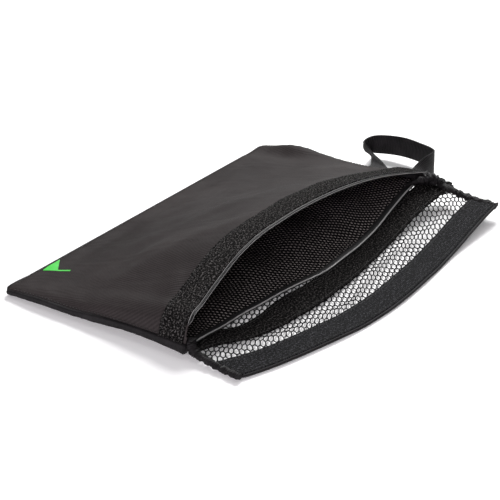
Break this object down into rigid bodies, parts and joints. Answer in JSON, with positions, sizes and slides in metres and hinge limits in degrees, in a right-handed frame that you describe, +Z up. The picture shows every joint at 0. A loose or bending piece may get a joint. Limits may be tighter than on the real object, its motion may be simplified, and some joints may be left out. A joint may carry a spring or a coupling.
{
  "type": "golf shoe bag",
  "caption": "Flat zipless golf shoe bag: woven front sheet arched over an open mouth, mesh divider, open-net back and fold-over flap with hook tape, and a webbing carry loop.",
  "frame": {"origin": "centre of the bag body's resting face, which is the underside of the net back", "axes": "+X along the mouth towards the carry strap, +Y from the mouth to the closed end, +Z up"},
  "size_m": [0.4436, 0.288, 0.0634],
  "materials": {
    "front_nylon": "black twill-woven nylon with a soft sheen",
    "open_net": "black open hexagonal net of knitted polyester",
    "divider_mesh": "fine black spacer mesh",
    "binding_tape": "black folded nylon binding",
    "lip_binding": "slightly shiny black piping tape",
    "loop_tape": "black fuzzy loop tape",
    "hook_tape": "black hook tape, rows of fine hooks",
    "thread": "black polyester sewing thread",
    "webbing": "black ribbed nylon webbing",
    "mark_print": "flat green transfer print"
  },
  "bodies": {
    "bag": {"back_net": "open_net", "divider_mesh": "divider_mesh", "front_panel": "front_nylon", "divider_hem": "binding_tape", "front_lip_binding": "lip_binding", "near_side_binding": "binding_tape", "far_side_binding": "binding_tape", "closed_end_binding": "binding_tape", "front_loop_tape": "loop_tape", "mouth_loop_tape": "loop_tape", "front_tape_thread": "thread", "mouth_tape_thread": "thread", "side_seam_thread": "thread", "closed_end_thread": "thread", "mouth_corner_tacks": "thread", "pennant_mark": "mark_print", "strap_sewn_ends": "webbing", "strap_bar_tacks": "thread"},
    "flap": {"flap_net": "open_net", "flap_hook_tape": "hook_tape", "flap_tape_thread": "thread", "flap_edge_binding": "binding_tape", "flap_near_side_binding": "binding_tape", "flap_far_side_binding": "binding_tape"},
    "strap": {"carry_strap": "webbing"}
  },
  "joints": [
    {"name": "flap_fold", "type": "hinge", "parent": "bag", "child": "flap", "pos_m": [0, -0.13015, 0.0075], "axis": [-1, 0, 0], "range_deg": [0, 180], "deforming": ["front_panel", "front_loop_tape", "front_lip_binding", "front_tape_thread"]},
    {"name": "strap_swing", "type": "hinge", "parent": "bag", "child": "strap", "pos_m": [0.195, -0.0575, 0.0146], "axis": [0, -1, 0], "range_deg": [0, 100]}
  ]
}
